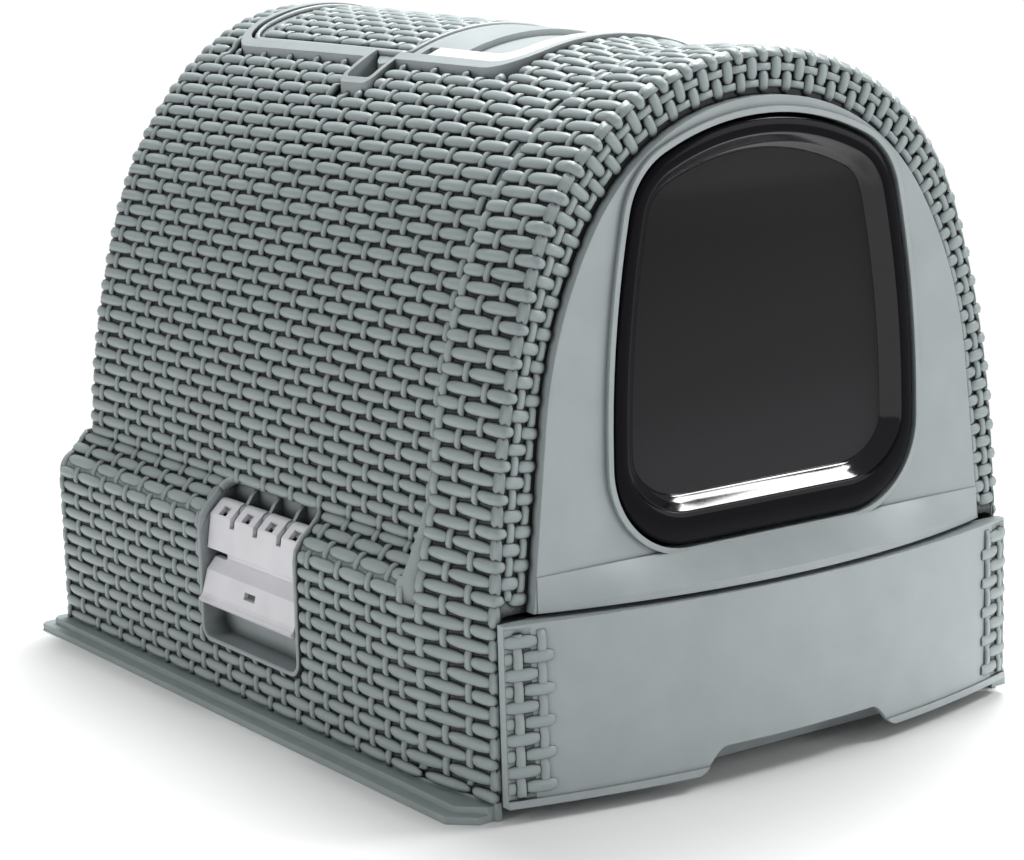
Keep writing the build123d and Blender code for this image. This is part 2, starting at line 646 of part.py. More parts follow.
def carry_handle():
    """U-shaped carry handle with an eye at the end of each arm."""
    arms = roof_skin(BAIL_TOP, BAIL_UNDER, bail_plan())
    eyes = both(cross_rod(BAIL_AXIS_Y, bail_axis_z(), BAIL_EYE_R, BAIL_X - BAIL_EYE_WIDTH, BAIL_X))
    room = both(Pos(BAIL_X - 4, BAIL_AXIS_Y + ARM_ROOM_Y, bail_axis_z()) * Box(*ARM_ROOM))
    arms = arms - room
    return arms + eyes - bail_bores(BAIL_PIN_R + RUN_CLEAR)


def handle_panel():
    """Smooth panel under the handle: a base, a raised pad and the land behind the handle."""
    plan = opening_plan(-0.3) & Pos(0, -150) * Rectangle(200, 302)
    base = roof_skin(BASE_TOP, SEAT, plan)
    rear = roof_skin(PAD_TOP, SEAT - 1, plan & Pos(0, BAIL_AXIS_Y + 10 + 25) * Rectangle(200, 50))
    pad_plan = Pos(0, (PAD_STEP_Y - 4) / 2) * Rectangle(2 * PAD_X, -PAD_STEP_Y - 3)
    pad = roof_skin(PAD_TOP, SEAT - 1, pad_plan)
    low_plan = Pos(0, (PAD_FRONT_Y + PAD_STEP_Y) / 2) * Rectangle(2 * PAD_X, PAD_STEP_Y - PAD_FRONT_Y + 1)
    low = roof_skin(PAD_LOW, SEAT - 1, low_plan & opening_plan(-BAIL_WIDTH - 4))
    eye_room = (BAIL_EYE_R + 0.5, BAIL_X - BAIL_WIDTH - 0.7, OPEN_X)
    room = both(cross_rod(BAIL_AXIS_Y, bail_axis_z(), *eye_room))
    return base + rear + pad + low - room - bail_bores(BAIL_PIN_R)


def main():
    latch_right = latch()
    frame_right = latch_frame()
    pin_right = hinge_axis(*LATCH_AXIS, LATCH_PIN_R, COLLAR_HALF - 0.8)
    flap_pins = flap_rods(FLAP_PIN_R)
    handle_pins = bail_bores(BAIL_PIN_R)
    parts = {
        "hood_shell": hood_shell(),
        "top_rim": top_rim(),
        "latch_frame_right": frame_right,
        "latch_frame_left": frame_right.mirror(Plane.YZ),
        "front_fascia": front_fascia(),
        "flap_frame": flap_frame(),
        "flap_panel": flap_panel(),
        "flap_pin_right": flap_pins[0],
        "flap_pin_left": flap_pins[1],
        "litter_tray": litter_tray(),
        "tray_front": tray_front(),
        "latch_right": latch_right,
        "latch_left": latch_right.mirror(Plane.YZ),
        "latch_pin_right": pin_right,
        "latch_pin_left": pin_right.mirror(Plane.YZ),
        "top_lid": top_lid(),
        "lid_hinge_pin": lid_rod(LID_PIN_R),
        "top_compartment": top_compartment(),
        "charcoal_filter": charcoal_filter(),
        "filter_cover": filter_cover(),
        "handle_panel": handle_panel(),
        "carry_handle": carry_handle(),
        "handle_pin_right": handle_pins[0],
        "handle_pin_left": handle_pins[1],
    }
    os.makedirs("parts", exist_ok=True)
    for name, shape in parts.items():
        export_step(shape, f"parts/{name}.step")


main()
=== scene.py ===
import functools
import json
import math
import random

import bpy
from mathutils import Matrix, Vector


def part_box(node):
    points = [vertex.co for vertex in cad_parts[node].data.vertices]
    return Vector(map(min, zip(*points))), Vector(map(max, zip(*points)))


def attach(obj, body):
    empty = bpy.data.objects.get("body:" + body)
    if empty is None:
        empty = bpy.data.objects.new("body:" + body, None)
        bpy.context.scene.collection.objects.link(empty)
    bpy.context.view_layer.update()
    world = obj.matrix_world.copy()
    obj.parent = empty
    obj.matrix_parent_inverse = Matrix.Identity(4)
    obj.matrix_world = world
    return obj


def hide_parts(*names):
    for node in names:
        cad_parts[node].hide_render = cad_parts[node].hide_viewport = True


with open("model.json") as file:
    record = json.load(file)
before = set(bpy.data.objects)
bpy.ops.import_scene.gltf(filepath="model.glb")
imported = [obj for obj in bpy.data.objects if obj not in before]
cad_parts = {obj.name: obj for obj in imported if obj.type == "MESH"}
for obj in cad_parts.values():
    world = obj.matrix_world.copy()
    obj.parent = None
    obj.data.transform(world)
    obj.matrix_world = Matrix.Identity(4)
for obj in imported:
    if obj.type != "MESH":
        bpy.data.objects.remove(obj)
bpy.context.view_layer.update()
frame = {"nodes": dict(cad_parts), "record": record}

# Lengths are in millimetres in the frame's axes, and become metres when a mesh is made.
MM = 0.001
random.seed(7)

# Roof arch: three tangent arcs a side that change evenly from front to rear, as in the CAD model
ROOF_ANGLES = (33.0, 70.0, 87.0)
ROOF_FRONT = (-158.0, 362.8, (163.0, 96.0, 562.0))  # y, crown, radii
ROOF_REAR = (240.0, 379.3, (103.0, 185.0, 502.0))
ROOF_FOOT_Z = 90.0
REAR_Y = 242.5
REAR_EDGE = 18.0
REAR_TURN = REAR_EDGE * 0.97  # how far round the rear edge the roof's weave goes
REAR_TURN_Y = REAR_Y - REAR_EDGE * 0.03
TOP_Z = 300.0  # the rim, the pockets and the lid are all above this

# Front band and fascia
FRONT_Y = -222.5
BAND_BACK = -158.0
BAND = (365.2, (166.8, 131.5, 485.5), (23.9, 70.0, 85.0))
FASCIA = (344.0, (139.0, 120.0, 223.0), (16.6, 58.1, 83.3))
FASCIA_FLOOR = (149.8, 103.0)
DOOR = (338.4, (157.0, 43.7, 555.0), (25.4, 77.6, 90.0))
DOOR_BOTTOM = 118.0
DOOR_CORNER = 50.0

# Weave
ROW = 8.2
PILL_HALF = 3.5
PILL_TOP = 3.1
LID_PILL_TOP = PILL_TOP - 0.2
DRAWER_PILL_TOP = 2.2
ROWS_PER_MM = 1 / ROW
STRAND_GAP = 1.0  # from a strand's end to the stake that it dives under
BAND_GAP = 3.4  # the same behind the band
SHELF_GAP = 10.0  # the same above the shelf's edge
REAR_END = REAR_Y - 0.6  # where the rearmost strands end
SHORTEST = 4  # a cell with a shorter clear stretch gets no strand
CUT_SHARE = 0.9  # a strand over less than this share of its cell has blunt ends
STAKE_HALF = 2.1
STAKE_TOP = 2.3
STAKE_LOW = 0.4
ROOT_Z = 124.0
BASE_Z = 8.0
LOW_ROWS = 14  # rows between the skirt and the roof's foot
SHELF_ROWS = 15
EDGE_ROWS = 11.4  # rows up to the shelf's edge
OPEN_ROWS = 12.2  # rows up to the top of the drawer's opening
ROOF_STAKES = 24
LAST_ROOF_STAKE = 197.0
REAR_STAKES = (217.5, 237.5)
FACE_STAKES = (0.735, 0.35)  # shares of the front face's width, out from the corner
LOW_FACE_STAKES = (20.0, 9.0)  # the same beside the drawer, in millimetres
CORNER_R = 2.0
STEP_Y = -168.5  # the band's rear stake, which leans forward by STEP_LEAN over STEP_RUN rows
STEP_LEAN = 8.0
STEP_START = 28
STEP_RUN = 12

# Top opening and lid
RIM_X = 68.8
RIM_Y = (-104.5, 198.3)
POCKET_X = 88.0
POCKET_Y = (5.0, 38.0)
COVERS = ((RIM_X, *RIM_Y), (POCKET_X, *POCKET_Y))  # half-width, front and rear
RIM_LIFT = 2.4
RIM_REACH = 45.0
LID_TOP = 3.3

# Latch housings
HOUSING_Y = (-51.5, 57.5)
HOUSING_Z = (35.0, 127.0)
HOUSING_X = 150
EDGE_INSET = 1.2
EDGE_SPAN = (3.4 * ROW, 15.0 * ROW)  # heights of the raised edge, along the side's surface
EDGE_CORNER = 8.0
EDGE_PROFILE = ((-1.1, -3.0), (-1.1, 2.2), (-0.6, 3.0), (0.6, 3.0), (1.1, 2.2), (1.1, -3.0))  # outward, up

# Lid's border and weave
BORDER_HALF = 59.6
BORDER_Y = (5.2, 187.6)
BORDER_CORNER = 16.0
BORDER_CHAMFER = 2
BORDER_PROFILE = ((-1.5, 2.6), (-1.5, 5.3), (-0.9, 6.0), (0.9, 6.0), (1.6, 5.3), (1.6, 2.6))  # outward, up
LID_WEAVE_X = 57.6
LID_WEAVE_Y = (7.5, 176.0)
LID_ROWS = 12.0  # rows that the lid's stakes cross on each side of the crown

# Rear wall's flat: half-widths below two heights, and the margins under the roof's edge
REAR_FLATS = ((104, 171), (126, 152))
REAR_FLAT_DROP = 8.0
REAR_FLAT_ROOM = 4.0
REAR_PITCH = 15.2
REAR_TOP = 370

# Drawer's woven strips: x of the edges and of the two stakes
STRIP_INNER, STRIP_FIRST, STRIP_SECOND, STRIP_OUTER = 145.0, 150.6, 162.6, 168.9
STRIP_FOOT_Z = 13.0
STRIP_ROWS = 10
DRAWER_END_Y = -230.0
DRAWER_LIP = 1.0  # the drawer's foremost point stands this far in front of its face

# Flap's border: distance in from the door's outline, and y
FLAP_PROFILE = (
    (5.0, -220.2), (5.0, -229.6), (5.5, -230.6), (6.6, -231.0), (11.5, -231.0), (13.0, -230.6),
    (14.2, -229.6), (17.0, -226.4), (20.0, -223.4), (21.6, -222.7), (21.6, -220.2),
)
FLAP_SLOPE = (5, 8)  # the runs of the profile that slope back to the panel
FLAP_WIDEN = 8.0  # the border's extra width at its foot, inside its rounded front edge
FLAP_WIDEN_FROM = 6.6
FLAP_WIDEN_OVER = 6.4
FLAP_FOOT_Z = 185  # the border grows wider from here down over FLAP_FOOT_RUN
FLAP_FOOT_RUN = 50

# Studio, in metres
FLOOR_HALF = 8
WORLD_LIGHT = 0.36  # the world's strength as a light
BACKDROP = 1.02  # its strength, and the far floor's, as the camera sees them
FLOOR_FADE = (0.36, 0.72)  # distances over which the floor fades into the backdrop


def arch(crown, radii, angles, feet):
    """Half an arch from the crown outwards: arcs, then straight runs to the feet."""
    runs, x, z, start = [], 0.0, crown, 0.0
    for radius, end in zip(radii, angles):
        a, b = math.radians(start), math.radians(end)
        cx, cz = x - radius * math.sin(a), z - radius * math.cos(a)
        runs.append((radius * (b - a), cx, cz, radius, a, b))
        x, z, start = cx + radius * math.sin(b), cz + radius * math.cos(b), end
    for fx, fz in feet:
        length = math.hypot(fx - x, fz - z)
        runs.append((length, x, z, None, (fx - x) / length, (fz - z) / length))
        x, z = fx, fz
    return runs


def along(runs, s):
    """Point and outward normal in x and z at a length s from the crown. A negative s is the -X side."""
    side = -1.0 if s < 0 else 1.0
    s = abs(s)
    for k, (length, x, z, radius, a, b) in enumerate(runs):
        if s <= length or k == len(runs) - 1:
            if radius:
                turn = a + s / radius
                return (
                    side * (x + radius * math.sin(turn)), z + radius * math.cos(turn),
                    side * math.sin(turn), math.cos(turn),
                )
            return side * (x + a * s), z + b * s, -side * b, a
        s -= length


def length_to(runs, height):
    """Length along a half arch from the crown down to a height."""
    low, high = 0.0, sum(run[0] for run in runs)
    for _ in range(40):
        middle = (low + high) / 2
        if along(runs, middle)[1] > height:
            low = middle
        else:
            high = middle
    return low


def mix(a, b, share):
    return a + (b - a) * share


@functools.lru_cache(maxsize=None)
def roof_arch(y):
    share = (y - ROOF_FRONT[0]) / (ROOF_REAR[0] - ROOF_FRONT[0])
    radii = [mix(a, b, share) for a, b in zip(ROOF_FRONT[2], ROOF_REAR[2])]
    runs = arch(mix(ROOF_FRONT[1], ROOF_REAR[1], share), radii, ROOF_ANGLES, [])
    x, z = along(runs, sum(run[0] for run in runs))[:2]
    foot = (x + (z - ROOF_FOOT_Z) / math.tan(math.radians(ROOF_ANGLES[-1])), ROOF_FOOT_Z)
    runs = arch(mix(ROOF_FRONT[1], ROOF_REAR[1], share), radii, ROOF_ANGLES, [foot])
    return runs, length_to(runs, ROOT_Z)


ROOF_ROWS = round(roof_arch(0.0)[1] / ROW)
BAND_ROWS = ROOF_ROWS + LOW_ROWS


def rim_lift(x, y):
    """Extra height of the strands next to the top rim, so that they meet it as a low edge."""
    away = min(math.hypot(max(abs(x) - half, 0.0), max(low - y, y - high, 0.0)) for half, low, high in COVERS)
    return RIM_LIFT * max(0.0, 1 - away / RIM_REACH)


def place_roof(y, v, h):
    """A point over the roof: v counts rows from the -X foot over the crown to the +X foot."""
    runs, reach = roof_arch(round(y * 2) / 2)
    x, z, nx, nz = along(runs, reach * (v / ROOF_ROWS - 1))
    if h > 0 and z > TOP_Z:
        h += rim_lift(x, y)
    over = min(y - (REAR_Y - REAR_EDGE), REAR_TURN)
    if over > 0:
        tilt = over / REAR_EDGE
        level = math.sqrt(1 - tilt * tilt)
        return Vector((
            x + nx * (h * level - REAR_EDGE * (1 - level)),
            min(y, REAR_TURN_Y) + h * tilt,
            z + nz * (h * level - REAR_EDGE * (1 - level)),
        ))
    return Vector((x + nx * h, y, z + nz * h))


def surface_z(x, y):
    """Height of the roof's surface over a point of the plan."""
    for _, cx, cz, radius, _, b in roof_arch(round(y * 2) / 2)[0][:3]:
        if abs(x) <= cx + radius * math.sin(b):
            return cz + math.sqrt(max(radius * radius - (abs(x) - cx) ** 2, 0.0))
    return 0.0


@functools.lru_cache(maxsize=None)
def band_arch(y):
    share = (y - FRONT_Y) / (BAND_BACK - FRONT_Y)
    runs = arch(*BAND, [(168.5 + share * 9.5, 106.0), (171.0 + share * 7.5, 0.0)])
    return runs, length_to(runs, ROOT_Z), length_to(runs, BASE_Z)


def band_length(v, y):
    """Signed length from the crown of row height v on the band."""
    _, root, base = band_arch(round(y * 2) / 2)
    row = min(v, 2 * BAND_ROWS - v)
    side = -1 if v < BAND_ROWS else 1
    if row >= LOW_ROWS:
        return side * root * (1 - (row - LOW_ROWS) / ROOF_ROWS)
    return side * (root + (base - root) * (LOW_ROWS - row) / LOW_ROWS)


@functools.lru_cache(maxsize=None)
def strip_width(v):
    """Width of the front face between the band's edge and the fascia."""
    runs = arch(*FASCIA, [FASCIA_FLOOR])
    x, z, nx, nz = along(band_arch(FRONT_Y)[0], band_length(v, FRONT_Y))
    low, high = 0.0, 60.0
    for _ in range(24):
        middle = (low + high) / 2
        px, pz = abs(x - nx * middle), z - nz * middle
        inside = pz < FASCIA[0] and px < abs(along(runs, length_to(runs, pz))[0])
        if inside:
            high = middle
        else:
            low = middle
    return low


def place_band(u, v, h):
    """A point over the band: u is y on the outside, and goes on round the corner over the front face."""
    start, stop = FRONT_Y + CORNER_R, FRONT_Y - CORNER_R
    y = max(u, start)
    runs = band_arch(round(y * 2) / 2)[0]
    x, z, nx, nz = along(runs, band_length(v, y))
    if u >= start:
        return Vector((x + nx * h, u, z + nz * h))
    turn = min((start - u) / (2 * CORNER_R), 1.0) * math.pi / 2
    deep = max(stop - u, 0.0)
    out = (CORNER_R + h) * math.cos(turn) - CORNER_R - deep
    return Vector((x + nx * out, start - (CORNER_R + h) * math.sin(turn), z + nz * out))


BULGE = (
    (0.0, 178.5, 8.0, 1.0, 0.0), (11.1, 178.0, 100.0, 1.0, 0.06), (11.8, 177.0, 105.3, 0.93, 0.37),
    (12.4, 173.8, 110.2, 0.75, 0.66), (13.1, 169.5, 114.0, 0.69, 0.72), (15.0, 158.3, 125.7, 0.72, 0.69),
)  # row height, x, z and outward normal of the lower body and its shelf


def place_bulge(y, v, h, side):
    for low, high in zip(BULGE, BULGE[1:]):
        if v <= high[0] or high is BULGE[-1]:
            share = (v - low[0]) / (high[0] - low[0])
            _, x, z, nx, nz = [mix(a, b, share) for a, b in zip(low, high)]
            return Vector((side * (x + nx * h), y, z + nz * h))


def step_y(v):
    """Where the band's rear stake stands at row height v."""
    row = min(v, 2 * BAND_ROWS - v)
    share = min(max((row - STEP_START) / STEP_RUN, 0.0), 1.0)
    return STEP_Y - STEP_LEAN * share


def side_columns(v):
    """Stakes from the front's second stake, round the corner, to the rear: their u at band row height v."""
    step = step_y(v)
    if OPEN_ROWS < v < 2 * BAND_ROWS - OPEN_ROWS:
        wide = strip_width(round(v * 2) / 2)
        columns = [FRONT_Y - wide * share for share in FACE_STAKES]
    else:
        columns = [FRONT_Y - away for away in LOW_FACE_STAKES]
    columns += [FRONT_Y + (step - FRONT_Y) * k / 3 for k in range(4)]
    columns += [mix(step, LAST_ROOF_STAKE, k / ROOF_STAKES) for k in range(1, ROOF_STAKES + 1)]
    return columns + list(REAR_STAKES)


CORNER = 2  # indexes in side_columns
STEP = 5
LAST = STEP + ROOF_STAKES + len(REAR_STAKES)


class Mesh:
    """Gathers closed strands into one mesh."""

    def __init__(self):
        self.points = []
        self.faces = []

    def tube(self, rings):
        """A closed skin over rings of points, with an end cap at each end."""
        count = len(rings[0])
        base = len(self.points)
        for ring in rings:
            self.points.extend(ring)
        for k in range(len(rings) - 1):
            for j in range(count):
                a = base + k * count + j
                b = base + k * count + (j + 1) % count
                self.faces.append((a, b, b + count, a + count))
        self.faces.append(tuple(base + j for j in reversed(range(count))))
        last = base + (len(rings) - 1) * count
        self.faces.append(tuple(last + j for j in range(count)))

    def piece(self, name, body, slot, material, smooth=True):
        mesh = bpy.data.meshes.new(name)
        mesh.from_pydata([tuple(p * MM for p in point) for point in self.points], [], self.faces)
        mesh.polygons.foreach_set("use_smooth", [smooth] * len(mesh.polygons))
        mesh.materials.append(material)
        mesh.update()
        item = bpy.data.objects.new(name, mesh)
        bpy.context.scene.collection.objects.link(item)
        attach(item, body)
        return item


PILL_RING = ((-0.93, -1.0), (-1.0, 0.25), (-0.72, 0.76), (0.0, 1.0), (0.72, 0.76), (1.0, 0.25), (0.93, -1.0))
PILL_STEPS = (-1.0, -0.93, -0.78, -0.5, -0.18, 0.18, 0.5, 0.78, 0.93, 1.0)
STAKE_RING = ((-1.0, -1.0), (-1.0, 0.35), (-0.72, 1.0), (0.72, 1.0), (1.0, 0.35), (1.0, -1.0))
SINK = -1.0


def pill(mesh, place, u0, u1, v, half=PILL_HALF, top=PILL_TOP, blunt=False):
    """One visible stretch of a strand, which dives under the stakes at its ends."""
    top *= random.uniform(0.94, 1.05)
    half *= random.uniform(0.95, 1.03)
    v += random.uniform(-0.02, 0.02)
    lean = random.uniform(-0.02, 0.02)
    rings = []
    for t in PILL_STEPS:
        u = mix(u0, u1, (t + 1) / 2)
        wide = half * (1 - abs(t) ** (6 if blunt else 4.2)) ** 0.5
        wide = max(wide, half * (0.75 if blunt else 0.38))
        lift = top * (1 - (0.35 if blunt else 0.68) * abs(t) ** 3.2)
        ring = []
        for across, up in PILL_RING:
            height = SINK if up < 0 else lift * up
            ring.append(place(u, v + lean * t + across * wide * ROWS_PER_MM, height))
        rings.append(ring)
    mesh.tube(rings)


def stake(mesh, place, column, v0, v1, over, half=STAKE_HALF, top=STAKE_TOP, low=STAKE_LOW):
    """A stake across rows v0 to v1. It stands high in the rows where over(row) is true."""
    rings = []
    row = math.floor(v0)
    while row < v1:
        high = over(row)
        for share in ((0.12, 0.5, 0.88) if high else (0.25, 0.75)):
            v = row + share
            if v0 <= v <= v1:
                u = column(v)
                lift = top if high else low
                ring = [place(u + a * half, v, SINK if b < 0 else lift * b) for a, b in STAKE_RING]
                rings.append(ring)
        row += 1
    if len(rings) > 1:
        mesh.tube(rings)


def in_rim(point, room=0.0):
    """True where the top rim or a finger pocket covers the roof."""
    x, y, z = point
    return z > TOP_Z and any(
        abs(x) < half + room and low - room < y < high + room for half, low, high in COVERS
    )


def in_housing(point, room=0.0):
    """True where a latch housing covers the side."""
    x, y, z = point
    inside = HOUSING_Y[0] - room < y < HOUSING_Y[1] + room
    return inside and HOUSING_Z[0] - room < z < HOUSING_Z[1] + room and abs(x) > HOUSING_X


def clear_run(place, u0, u1, v):
    """The longest stretch of a strand's cell that no cover blocks."""
    best, begin = (0.0, 0.0), None
    for k in range(30):
        u = mix(u0, u1, k / 28)
        point = place(min(u, u1), v, 0.0)
        hidden = k == 29 or in_rim(point, 0.6) or in_housing(point, 0.4)
        if not hidden and begin is None:
            begin = u
        if hidden and begin is not None:
            end = mix(u0, u1, (k - 1) / 28)
            if end - begin > best[1] - best[0]:
                best = (begin, end)
            begin = None
    return best


def clear_pill(mesh, place, u0, u1, v):
    """A strand over the clear stretch of its cell, with blunt ends where a cover cuts it short."""
    begin, end = clear_run(place, u0, u1, v)
    if end - begin > SHORTEST:
        pill(mesh, place, begin, end, v, blunt=end - begin < CUT_SHARE * (u1 - u0))


def runs_outside(place, column, v0, v1, blocked):
    """The stretches of a stake that no cover blocks."""
    stretches, begin, v = [], None, v0
    while v < v1:
        hidden = blocked(place(column(v), v, 0.0))
        if begin is None and not hidden:
            begin = v
        if begin is not None and hidden:
            stretches.append((begin, v))
            begin = None
        v += 0.25
    if begin is not None:
        stretches.append((begin, v1))
    return stretches


def weave_roof(side, material):
    """Strands and stakes of the roof behind the band, on one side of the crown."""
    mesh = Mesh()
    rows = range(0, ROOF_ROWS) if side < 0 else range(ROOF_ROWS, 2 * ROOF_ROWS)
    for row in rows:
        v = row + 0.5
        columns = side_columns(v + LOW_ROWS)
        for k in range(STEP + 1, LAST + 1):
            if (row + LOW_ROWS + k) % 2:
                continue
            u0 = columns[k - 1] + (BAND_GAP if k == STEP + 1 else STRAND_GAP)
            u1 = columns[k + 1] - STRAND_GAP if k < LAST else REAR_END
            clear_pill(mesh, place_roof, u0, u1, v)
    for k in range(STEP + 1, LAST + 1):
        def column(v, k=k):
            return side_columns(v + LOW_ROWS)[k]

        def over(row, k=k):
            return (row + LOW_ROWS + k) % 2 == 1

        for v0, v1 in runs_outside(place_roof, column, rows[0], rows[-1] + 1.0, lambda p: in_rim(p, -2.0)):
            stake(mesh, place_roof, column, v0, v1, over)
    name = "weave_roof_left" if side < 0 else "weave_roof_right"
    return mesh.piece(name, "hood", "woven_plastic", material)


def weave_lower(side, material):
    """Strands and stakes of the lower body and its shelf, on one side."""
    mesh = Mesh()

    def place(u, v, h):
        return place_bulge(u, v, h, side)

    def parity(row):
        return row if side < 0 else 2 * BAND_ROWS - 1 - row

    for row in range(SHELF_ROWS):
        columns = side_columns(min(row + 0.5, 11.0))
        for k in range(STEP + 1, LAST + 1):
            if (parity(row) + k) % 2:
                continue
            on_shelf = k == STEP + 1 and row + 0.5 > EDGE_ROWS
            u0 = columns[k - 1] + (SHELF_GAP if on_shelf else STRAND_GAP)
            u1 = columns[k + 1] - STRAND_GAP if k < LAST else REAR_END
            clear_pill(mesh, place, u0, u1, row + 0.5)
    stakes = side_columns(5.0)  # the same at every height of the lower body
    for k in range(STEP + 1, LAST + 1):
        def column(v, k=k):
            return stakes[k]

        def over(row, k=k):
            return (parity(row) + k) % 2 == 1

        for v0, v1 in runs_outside(place, column, 0.0, float(SHELF_ROWS), lambda p: in_housing(p, -1.0)):
            stake(mesh, place, column, v0, v1, over)
    name = "weave_lower_left" if side < 0 else "weave_lower_right"
    return mesh.piece(name, "hood", "woven_plastic", material)


def corner_arc(cx, cy, radius, quarter):
    """Seven points round a quarter of a circle."""
    turns = [math.pi / 2 * (quarter + k / 6) for k in range(7)]
    return [(cx + radius * math.cos(turn), cy + radius * math.sin(turn)) for turn in turns]


def raised_edge(path, spacing, profile, place):
    """A profile of outward and upward steps, swept round a closed path of points on a surface."""
    fine = []
    for a, b in zip(path, path[1:] + path[:1]):
        steps = max(1, int(math.dist(a, b) / spacing))
        fine += [(mix(a[0], b[0], j / steps), mix(a[1], b[1], j / steps)) for j in range(steps)]
    rings = []
    for k, (p, q) in enumerate(fine):
        before, after = fine[k - 1], fine[(k + 1) % len(fine)]
        size = math.dist(before, after)
        out_p, out_q = (after[1] - before[1]) / size, (before[0] - after[0]) / size
        rings.append([place(p + out_p * out, q + out_q * out, up) for out, up in profile])
    rings.append(rings[0])
    mesh = Mesh()
    mesh.tube(rings)
    return mesh


def latch_edge(side, material):
    """Thin raised edge round a latch's housing, as high as the strands beside it."""
    low_y, high_y = HOUSING_Y[0] + EDGE_INSET + EDGE_CORNER, HOUSING_Y[1] - EDGE_INSET - EDGE_CORNER
    low_s, high_s = EDGE_SPAN[0] + EDGE_CORNER, EDGE_SPAN[1] - EDGE_CORNER
    path = []
    for quarter, (y, s) in enumerate(((high_y, high_s), (low_y, high_s), (low_y, low_s), (high_y, low_s))):
        path += corner_arc(y, s, EDGE_CORNER, quarter)

    def place(y, s, up):
        return place_bulge(y, s / ROW, up, side)

    name = "latch_edge_left" if side < 0 else "latch_edge_right"
    return raised_edge(path, 3, EDGE_PROFILE, place).piece(name, "hood", "smooth_plastic", material)


def weave_band(material):
    """Strands and stakes of the front band, round its corner and over the front face."""
    mesh = Mesh()
    total = 2 * BAND_ROWS
    for row in range(total):
        v = row + 0.5
        columns = side_columns(v)
        has_front = OPEN_ROWS < v < total - OPEN_ROWS
        wide = strip_width(round(v * 2) / 2) if has_front else 0.0
        low = min(v, total - v) < EDGE_ROWS
        for k in range(0 if has_front else CORNER, STEP + 1):
            if (row + k) % 2:
                continue
            u0 = columns[k - 1] + STRAND_GAP if k else FRONT_Y - wide + 0.6
            if k == CORNER and not has_front:
                u0 = FRONT_Y - 1.5
            u1 = columns[k + 1] - STRAND_GAP
            if k == STEP and not low:
                u1 = columns[k] + 4.2
            pill(mesh, place_band, u0, u1, v)
    for k in range(STEP + 1):
        def column(v, k=k):
            return side_columns(v)[k]

        def over(row, k=k):
            return (row + k) % 2 == 1

        v0 = OPEN_ROWS if k < CORNER else 0.6
        half = {CORNER: 2.7, STEP: 2.9}.get(k, STAKE_HALF)
        stake(mesh, place_band, column, v0, total - v0, over, half=half)
    return mesh.piece("weave_band", "hood", "woven_plastic", material)


def place_rear(x, v, h):
    return Vector((x, REAR_Y + h, BASE_Z + ROW * v))


def in_rear(x, z):
    """True inside the flat of the rear wall."""
    for height, half in REAR_FLATS:
        if z < height:
            return abs(x) < half
    runs = roof_arch(ROOF_REAR[0])[0]
    top = runs[0][2] + runs[0][3]
    if z > top - REAR_EDGE:
        return False
    reach = along(runs, length_to(runs, min(z + REAR_FLAT_DROP, top - 0.1)))[0]
    return abs(x) < reach - REAR_EDGE + REAR_FLAT_ROOM


def weave_rear(material):
    """Strands and stakes of the rear wall."""
    mesh = Mesh()
    columns = [REAR_PITCH * k for k in range(-11, 12)]
    rows = int((REAR_TOP - BASE_Z) / ROW)
    for row in range(rows):
        z = BASE_Z + ROW * (row + 0.5)
        for k in range(1, len(columns) - 1):
            if (row + k) % 2 == 0 and in_rear(abs(columns[k]) + 12.0, z):
                u0, u1 = columns[k - 1] + STRAND_GAP, columns[k + 1] - STRAND_GAP
                pill(mesh, place_rear, u0, u1, row + 0.5)
    for k, x in enumerate(columns):
        tops = [row for row in range(rows) if in_rear(abs(x) + 3.0, BASE_Z + ROW * (row + 1))]
        if tops:
            stake(mesh, place_rear, lambda v: x, 0.3, tops[-1] + 1.0, lambda row: (row + k) % 2 == 1)
    return mesh.piece("weave_rear", "hood", "woven_plastic", material)


def place_lid(y, v, h):
    runs, reach = roof_arch(round(y * 2) / 2)
    x, z, nx, nz = along(runs, reach * (v / ROOF_ROWS - 1))
    return Vector((x + nx * (h + LID_TOP), y, z + nz * (h + LID_TOP)))


def weave_lid(material):
    """Strands and stakes inside the lid's border."""
    mesh = Mesh()
    low_y, high_y = LID_WEAVE_Y
    for row in range(2 * ROOF_ROWS):
        v = row + 0.5
        columns = side_columns(v + LOW_ROWS)
        for k in range(STEP + 1, LAST):
            if (row + LOW_ROWS + k) % 2:
                continue
            u0 = max(columns[k - 1] + STRAND_GAP, low_y)
            u1 = min(columns[k + 1] - STRAND_GAP, high_y)
            if u1 - u0 < 6 or abs(place_lid((u0 + u1) / 2, v, 0)[0]) > LID_WEAVE_X - 3:
                continue
            if place_lid(100, v, 0)[2] < TOP_Z:
                continue
            pill(mesh, place_lid, u0, u1, v, top=LID_PILL_TOP)
    for k in range(STEP + 1, LAST):
        def column(v, k=k):
            return side_columns(v + LOW_ROWS)[k]

        def outside(p):
            return abs(p[0]) > LID_WEAVE_X or not low_y < p[1] < high_y - 1

        for v0, v1 in runs_outside(place_lid, column, ROOF_ROWS - LID_ROWS, ROOF_ROWS + LID_ROWS, outside):
            stake(mesh, place_lid, column, v0, v1, lambda row, k=k: (row + LOW_ROWS + k) % 2 == 1)
    return mesh.piece("weave_lid", "lid", "woven_plastic", material)


